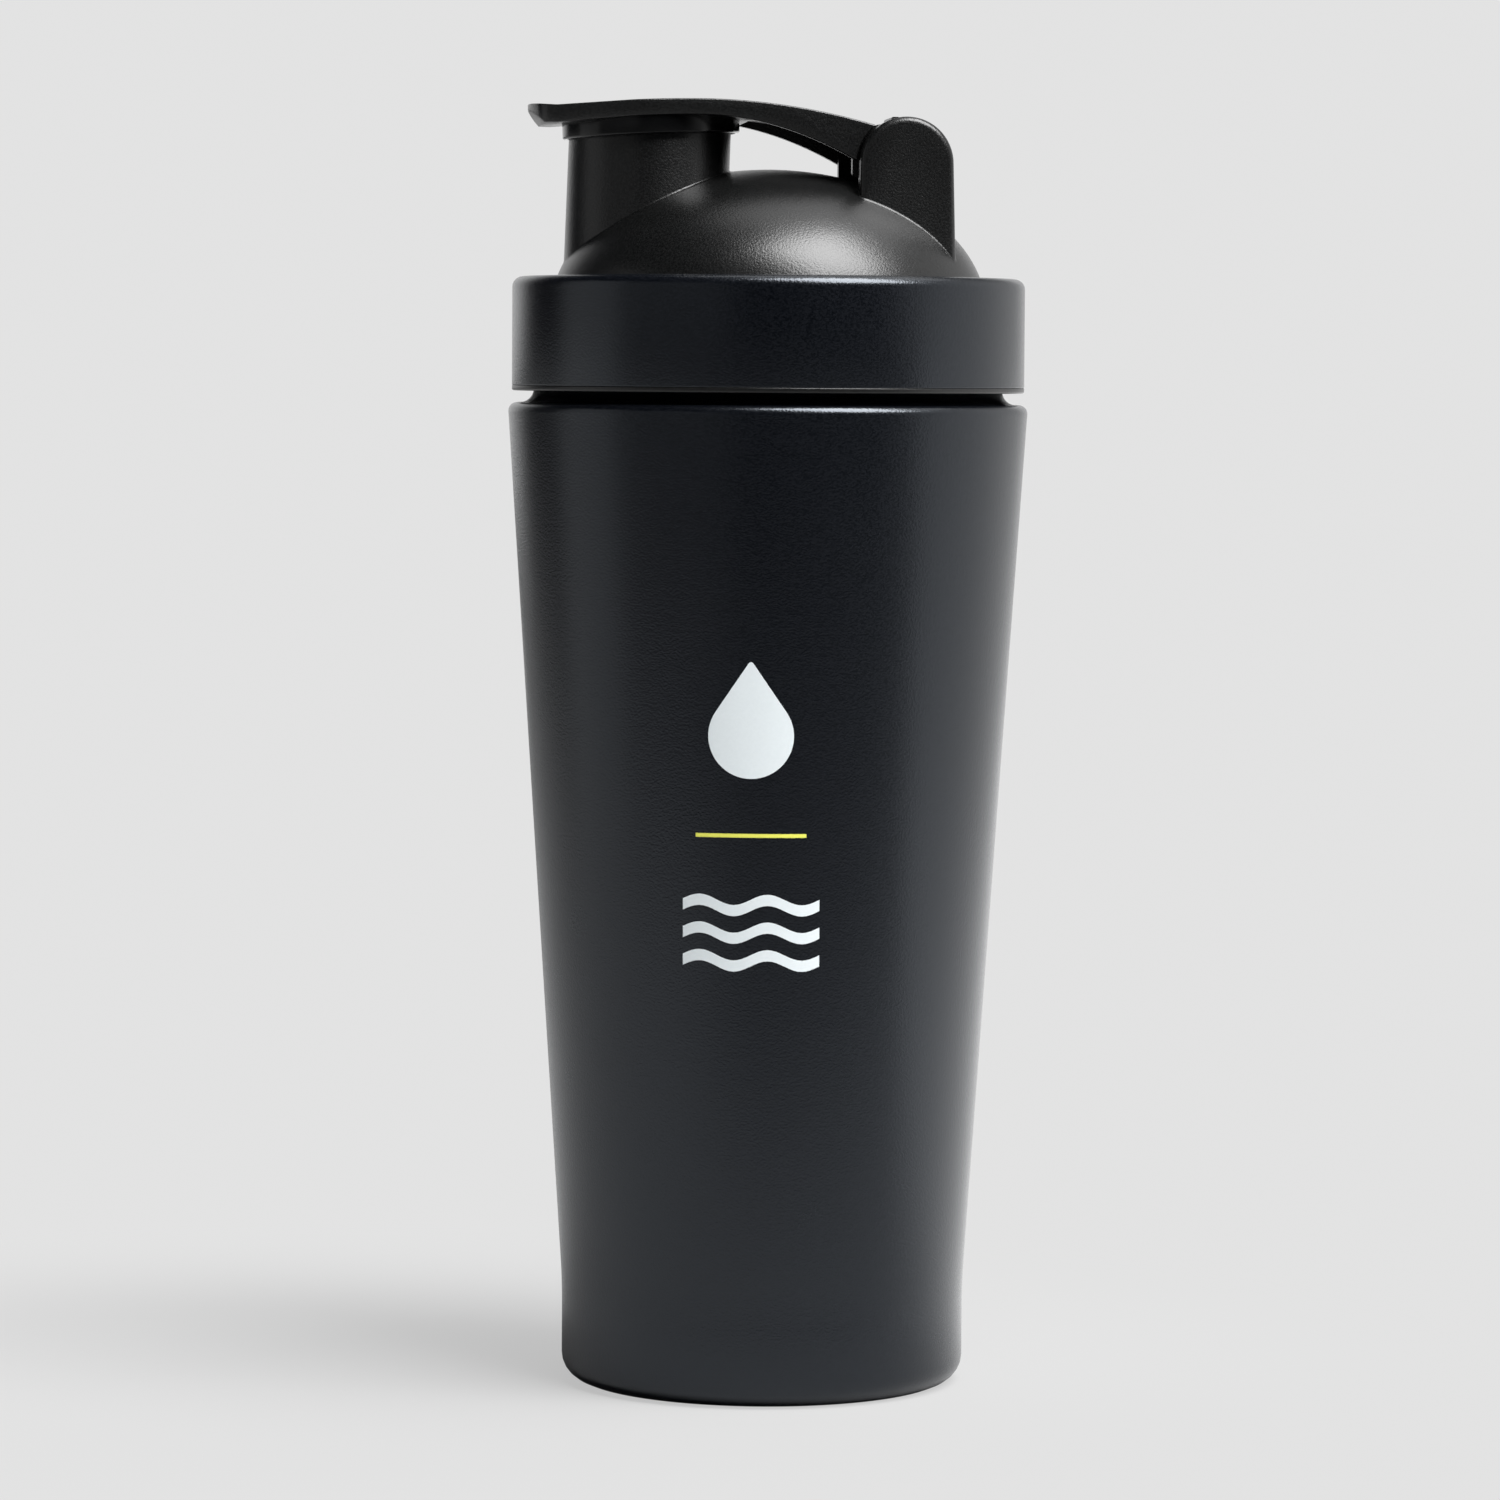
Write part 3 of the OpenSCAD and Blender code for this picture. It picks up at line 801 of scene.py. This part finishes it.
def lid_body():
    """The moulded lid: threaded skirt, lip, dome, strainer ring, spout and ears."""
    top_z = sleeve_edge_z - sleeve_t - slip_gap
    foot_z = crown_z - sleeve_t - slip_gap
    inside = dome_arc(dome_t, ceiling_z)
    ring_r = inside[0][0]
    body = lathe("lid_body", [
        (skirt_in_r, lid_z, lip_in_bend),
        (lip_r, lid_z, lip_out_bend),
        (lip_r, lip_z, lip_top_bend),
        (skirt_r, lip_z),
        (skirt_r, top_z, skirt_bend),
        *dome_arc(0, foot_z),
        *reversed(inside),
        (ring_r, ceiling_z - ring_h, ring_bend),
        (ring_r + ring_t, ceiling_z - ring_h, ring_bend),
        (ring_r + ring_t, ceiling_z),
        (skirt_in_r, ceiling_z)])
    boolean(body, "UNION", spout_body(), ear("front_ear", -ear_y, ear_t - ear_y),
            ear("back_ear", ear_y - ear_t, ear_y))
    boolean(body, "DIFFERENCE", spout_bore(),
            rod("pin_hole", pin_r + pin_hole_gap, pin_low.y - 0.2 * mm, ear_y + mm))

    def root(edge, first, second):
        low = min(v.co.z for v in edge.verts)
        off_pin = min((v.co - pivot).xz.length for v in edge.verts) > 2 * pin_r
        folded = edge.calc_face_angle_signed() < math.radians(-12)
        return folded and off_pin and low > crown_z + 0.2 * mm

    with editing(body):
        pick_folds(root)
        bpy.ops.mesh.remove_doubles(threshold=root_fillet / 2)
    round_edges(body, root, root_fillet, 3, clamp=False)
    with editing(body):
        tidy(0.005 * mm)
    join(body, thread_ridge("skirt_thread", skirt_in_r + thread_sunk, neck_r + thread_gap,
                            thread_z - thread_pitch / 2))
    finish(body, "lid", "grained_plastic", plastic, "lid_core")


def fall(x, end_x, top, low):
    """Height of a curve that falls from the cap's apex to an end point."""
    return top - (top - low) * ((x - apex_x) / (end_x - apex_x)) ** 2


def cap_top(x):
    """Height of the cap's upper side: a raised tab, the crown and the falling arm."""
    if x < tab_root_x:
        return tab_top_z + (tab_tip_z - tab_top_z) * ((tab_root_x - x) / (tab_root_x - tab_x)) ** 2
    if x < apex_x:
        return fall(x, tab_root_x, apex_z, tab_top_z)
    return fall(x, arm_end_x, apex_z, arm_top_z)


def cap_low(x):
    """Height of the cap's lower edge, with a chamfer under the tab's tip."""
    chamfer = tab_tip_z - tab_tip_t - tab_low_z
    if x < tab_root_x:
        return tab_low_z + max(0, tab_x + chamfer - x)
    if x < apex_x:
        return fall(x, tab_root_x, wall_low_z, tab_low_z)
    return fall(x, arm_end_x, wall_low_z, arm_low_z)


def cap_plan():
    """Points (x, half width) of the cap seen from above, from the tab's tip to the arm's end."""
    bow = math.asin(tab_tip_half_w / (tab_front_r - tab_corner_r))
    corner_x = tab_x + tab_front_r - (tab_front_r - tab_corner_r) * math.cos(bow)
    corner_y = tab_tip_half_w
    reach = math.hypot(corner_x - spout_x, corner_y)
    turn = math.atan2(corner_y, corner_x - spout_x) - math.acos((cap_half_w - tab_corner_r) / reach)

    def arc(x, y, radius, start, stop, steps):
        angles = [start + (stop - start) * i / steps for i in range(steps + 1)]
        return [(x + radius * math.cos(t), y + radius * math.sin(t)) for t in angles]

    front = arc(tab_x + tab_front_r, 0, tab_front_r, math.pi, math.pi - bow, 6)[1:-1]
    corner = arc(corner_x, corner_y, tab_corner_r, math.pi - bow, turn, 9)
    round_end = arc(spout_x, 0, cap_half_w, turn, math.pi / 2, 20)
    last_x = arm_end_x + 4 * mm
    arm = [(spout_x + (last_x - spout_x) * i / 28, cap_half_w) for i in range(1, 29)]
    return front + corner + round_end + arm


def gusset(name, low_y):
    """A rib under the arm, from its plate down to the barrel."""
    front_x, middle_x = pivot.x - gusset_reach, pivot.x - web_steps[-1]
    return slab(name, [(pivot.x, gusset_low_z), (pivot.x, knuckle_z),
                       (middle_x, cap_top(middle_x) - arm_t / 2),
                       (front_x, cap_top(front_x) - arm_t / 2),
                       (front_x, gusset_low_z, gusset_corner_r)], low_y, low_y + gusset_t)


def flip_cap():
    """The cap: crowned plate, thumb tab, hollow arm, web and barrel."""
    cap = bar("flip_cap_body", [(x, half, cap_low(x), cap_top(x)) for x, half in cap_plan()])

    def top_rim(edge, first, second):
        up, side = sorted((first.normal.z, second.normal.z), reverse=True)
        return up > 0.8 and abs(side) < 0.3

    def low_rim(edge, first, second):
        side, down = sorted((first.normal.z, second.normal.z), reverse=True)
        return down < -0.6 and abs(side) < 0.3

    def tip_rim(edge, first, second):
        at_tip = max(v.co.x for v in edge.verts) < tab_x + tab_corner_r
        return at_tip and top_rim(edge, first, second)

    with editing(cap):
        for rule, added in ((top_rim, 1), (tip_rim, tab_rim_share - 1)):
            pick_folds(rule)
            bpy.ops.transform.edge_bevelweight(value=added)
    modify(cap, "BEVEL", limit_method="WEIGHT", width=cap_rim_r, segments=4)
    round_edges(cap, low_rim, cap_low_rim_r, 2)

    deep_z = pivot.z - 20 * mm
    channel_x = spout_x + seal_r + cap_wall_t / 2
    channel_half_w = cap_half_w - cap_wall_t
    stations = [channel_x + (pivot.x - channel_x) * i / 16 for i in range(17)]
    channel = bar("channel", [(x, channel_half_w, deep_z, cap_top(x) - arm_t) for x in stations])
    recess_r, recess_low = seal_r + slip_gap, -12 * mm
    recess = lathe("seal_recess", [(0, recess_low), (recess_r, recess_low), (recess_r, 0), (0, 0)])
    at_seat(recess, -seat_tilt)
    boolean(cap, "DIFFERENCE", channel, recess,
            rod("ear_room", ear_clear_r, -cap_half_w - mm, cap_half_w + mm, 160))

    crest = [(pivot.x - step, cap_top(pivot.x - step)) for step in web_steps]
    web = slab("web", [(pivot.x, pivot.z), *crest, (pivot.x - web_reach, web_front_z)],
               -knuckle_half_w, knuckle_half_w)
    stop_x = pivot.x - stop_t
    stop = slab("stop", [(stop_x, knuckle_z), (stop_x, stop_top_z, stop_bend),
                         (pivot.x, stop_top_z, stop_bend), (pivot.x, knuckle_z)],
                -stop_half_w, stop_half_w)
    boss = lathe("boss", [(0, -boss_h), (boss_r, -boss_h, boss_bend),
                          (boss_r, boss_sunk), (0, boss_sunk)])
    at_seat(boss, -seat_tilt)
    boolean(cap, "UNION", web, gusset("front_gusset", -knuckle_half_w),
            gusset("back_gusset", knuckle_half_w - gusset_t), stop,
            rod("barrel", barrel_r, -knuckle_half_w, knuckle_half_w), boss)
    boolean(cap, "DIFFERENCE", rod("pin_bore", pin_r + pin_bore_gap, -cap_half_w, cap_half_w))
    with editing(cap):
        tidy(0.005 * mm)
    finish(cap, "cap", "grained_plastic", plastic, "flip_cap")


def seal():
    """The glossy seal: a skirt round the spout's rim, a web over it and a plug inside it."""
    plug_in_r = boss_r + boss_gap
    piece = lathe("seal", [
        (plug_in_r, 0),
        (plug_in_r, -plug_h, plug_in_bend),
        (plug_r - plug_taper, -plug_h, plug_bend),
        (plug_r, -seal_web_t - mm),
        (plug_r, -seal_web_t),
        (seal_in_r, -seal_web_t),
        (seal_in_r, -seal_h, seal_edge_r),
        (seal_r, -seal_h, seal_bend),
        (seal_r, 0, seal_edge_r)])
    at_seat(piece, -seat_tilt)
    finish(piece, "cap", "glossy_seal", gloss, "spout_seal")


def hinge_pin():
    """The steel pin, with rounded ends and a small dimple in the middle of each."""
    pin = rod("steel_pin", pin_r, pin_low.y, pin_high.y, 64)

    def end_rim(edge, first, second):
        return abs(abs(first.normal.y) - abs(second.normal.y)) > 0.9

    round_edges(pin, end_rim, pin_edge_r, 3)
    with editing(pin):
        pick("FACE", lambda f: abs(f.normal.y) > 0.99)
        bpy.ops.mesh.inset(thickness=dimple_rim)
        bpy.ops.mesh.extrude_region_shrink_fatten(TRANSFORM_OT_shrink_fatten={"value": -dimple_depth})
    finish(pin, "lid", "pin_steel", pin_steel, "hinge_pin")


cup_shell()
cup_bottom()
drop_mark()
line_mark()
for i in range(3):
    wave_mark(f"wave_mark_{i}", wave_z + i * wave_step)
collar()
lid_body()
flip_cap()
seal()
hinge_pin()

# The gasket and the strainer show as their solids
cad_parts["lid_gasket"].data.materials[0] = silicone
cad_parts["strainer"].data.materials[0] = strainer_plastic

# Stage: floor and backdrop even and pale to the camera, painted shade and glows on the floor in
# reflections, soft lamps
pale = 0.766
floor_r = 6
shadow_x = -0.07
shadow_y = 0.03
shadow_depth = 0.36
lamp_aim = Vector((0, 0, 0.12))


def floor_finish():
    """Even and pale to the camera, apart from the bottle's shadow; in reflections a lit table with
    painted shade towards the camera, painted glows to its right and by its foot, and pale far behind.
    """
    f = Finish("pale_floor")
    seen = f.node("ShaderNodeLightPath", output="Is Camera Ray")
    mirrored = f.node("ShaderNodeLightPath", output="Is Glossy Ray")
    x, y = f.axes()[:2]
    shadow_reach = ((x - shadow_x) ** 2 + (1.3 * (y - shadow_y)) ** 2) ** 0.5
    shadow_share = f.fade(shadow_reach, 0.20, 0.06) * shadow_depth
    # Painted shade: the table's colour is darker towards the camera and the front left, standing in
    # for the shade there.
    painted_front_shade = f.fade(0.0 - y - 0.35 * f.fade(x, 0.0, -0.5), -0.1, 0.6)
    # Painted reflections: seen in reflections, the floor glows to the bottle's right and faintly by
    # its foot on the left, in place of lamp light falling there; far behind, it glows as the
    # backdrop.
    painted_glow_right = f.fade(x, 0.0, 0.06) * f.fade(x + 2 * y, -0.03, 0.22)
    painted_glow_left = f.fade(y, 0.0, 0.1) * f.fade(x, 0.0, -0.1) * 0.06
    pale_back = f.fade(y, 1.2, 2.4) * f.fade(x, -0.6, -0.2) * 0.5
    table = f.between(painted_front_shade, (0.40, 0.40, 0.40), (0.11, 0.11, 0.11))
    lit = f.node("ShaderNodeBsdfDiffuse", {}, {"Color": table})
    # Painted highlight: near the bottle that glow is brighter than the backdrop, up to 1.4, and less
    # so far to its right.
    painted_glow_boost = mirrored * (0.37 + 0.63 * f.fade(x, 1.2, 0.4))
    glow_colour = f.between(painted_glow_boost, (pale, pale, pale), (1.4, 1.4, 1.4))
    glow = f.node("ShaderNodeEmission", {}, {"Color": glow_colour, "Strength": 1.0})
    glow_share = seen * (1 - shadow_share) + mirrored * (painted_glow_right + (painted_glow_left + pale_back))
    mixed = f.node("ShaderNodeMixShader", {}, {0: glow_share, 1: lit, 2: glow})
    f.node("ShaderNodeOutputMaterial", {}, {"Surface": mixed})
    return f.material


def light_room():
    """Pale behind the bottle and to its right, fainter to its left, dark towards the camera."""
    world = bpy.data.worlds.new("studio")
    bpy.context.scene.world = world
    world.use_nodes = True
    w = Finish("studio", tree=world.node_tree)
    seen = w.node("ShaderNodeLightPath", output="Is Camera Ray")
    direction = w.node("ShaderNodeTexCoord", output="Generated")

    def wall(azimuth, low, high):
        """Fades in around a direction, between two cosines of the angle from it."""
        a = math.radians(azimuth)
        along = w.node("ShaderNodeVectorMath", {"operation": "DOT_PRODUCT"},
                       {0: direction, 1: (math.sin(a), -math.cos(a), 0)}, output="Value")
        return w.fade(along, low, high)

    height = w.node("ShaderNodeSeparateXYZ", {}, {"Vector": direction}, output="Z")
    backdrop = wall(180, 0.74, 0.92) * w.fade(height, 0.6, 0.35)
    right_wall = 0.95 * wall(105, 0.45, 1.0)
    left_wall = 0.2 * wall(-50, 0.80, 0.93)
    bare = (1 - right_wall) * (1 - backdrop) * (1 - left_wall)
    room = w.between(bare, (1.0, 1.0, 1.0), (0.015, 0.0165, 0.02))
    colour = w.node("ShaderNodeMix", {"data_type": "RGBA"},
                    {0: seen, 6: room, 7: (pale, pale, pale, 1)}, output=2)
    glow = w.node("ShaderNodeBackground", {}, {"Color": colour, "Strength": 1.0})
    w.node("ShaderNodeOutputWorld", {}, {"Surface": glow})


def softbox(name, azimuth, elevation, distance, width, height, power):
    """A rectangular lamp that looks at the bottle's middle from this direction."""
    a, e = math.radians(azimuth), math.radians(elevation)
    back = Vector((math.sin(a) * math.cos(e), -math.cos(a) * math.cos(e), math.sin(e)))
    bpy.ops.object.light_add(type="AREA", location=lamp_aim + back * distance)
    lamp = bpy.context.object
    lamp.name = name
    lamp.data.shape = "RECTANGLE"
    lamp.data.size, lamp.data.size_y = width, height
    lamp.data.energy = power
    lamp.rotation_euler = (-back).to_track_quat("-Z", "Y").to_euler()


bpy.ops.object.select_all(action="DESELECT")
bpy.ops.mesh.primitive_circle_add(vertices=96, radius=floor_r, fill_type="NGON", location=(0, 0, 0))
floor = named("floor")
floor.data.materials.append(floor_finish())
light_room()
softbox("key", azimuth=45, elevation=58, distance=2.0, width=1.3, height=1.6, power=104)
softbox("overhead", azimuth=135, elevation=70, distance=1.3, width=1.0, height=1.0, power=4.2)
softbox("left_card", azimuth=-92, elevation=4, distance=1.2, width=0.7, height=1.4, power=1.3)

# Camera: level with the lid, a little to the spout's side of square on
view_azimuth = math.radians(-5)
view_distance = 1.045
view_height = 0.178
aim_z = 0.1100
aim_left = 0.0027
px_per_m = 5742
picture_px = 1500
roll = math.radians(0.38)
out = Vector((math.sin(view_azimuth), -math.cos(view_azimuth), 0))
right = Vector((math.cos(view_azimuth), math.sin(view_azimuth), 0))
stand = out * view_distance + Vector((0, 0, view_height))
aim = Vector((0, 0, aim_z)) - right * aim_left
bpy.ops.object.camera_add(location=stand)
camera = bpy.context.object
camera.rotation_mode = "QUATERNION"
look = (aim - stand).to_track_quat("-Z", "Y")
camera.rotation_quaternion = look @ Quaternion((0, 0, 1), roll)
camera.data.lens = camera.data.sensor_width * px_per_m * (aim - stand).length / picture_px
bpy.context.scene.camera = camera
bpy.context.scene.view_settings.view_transform = "Standard"
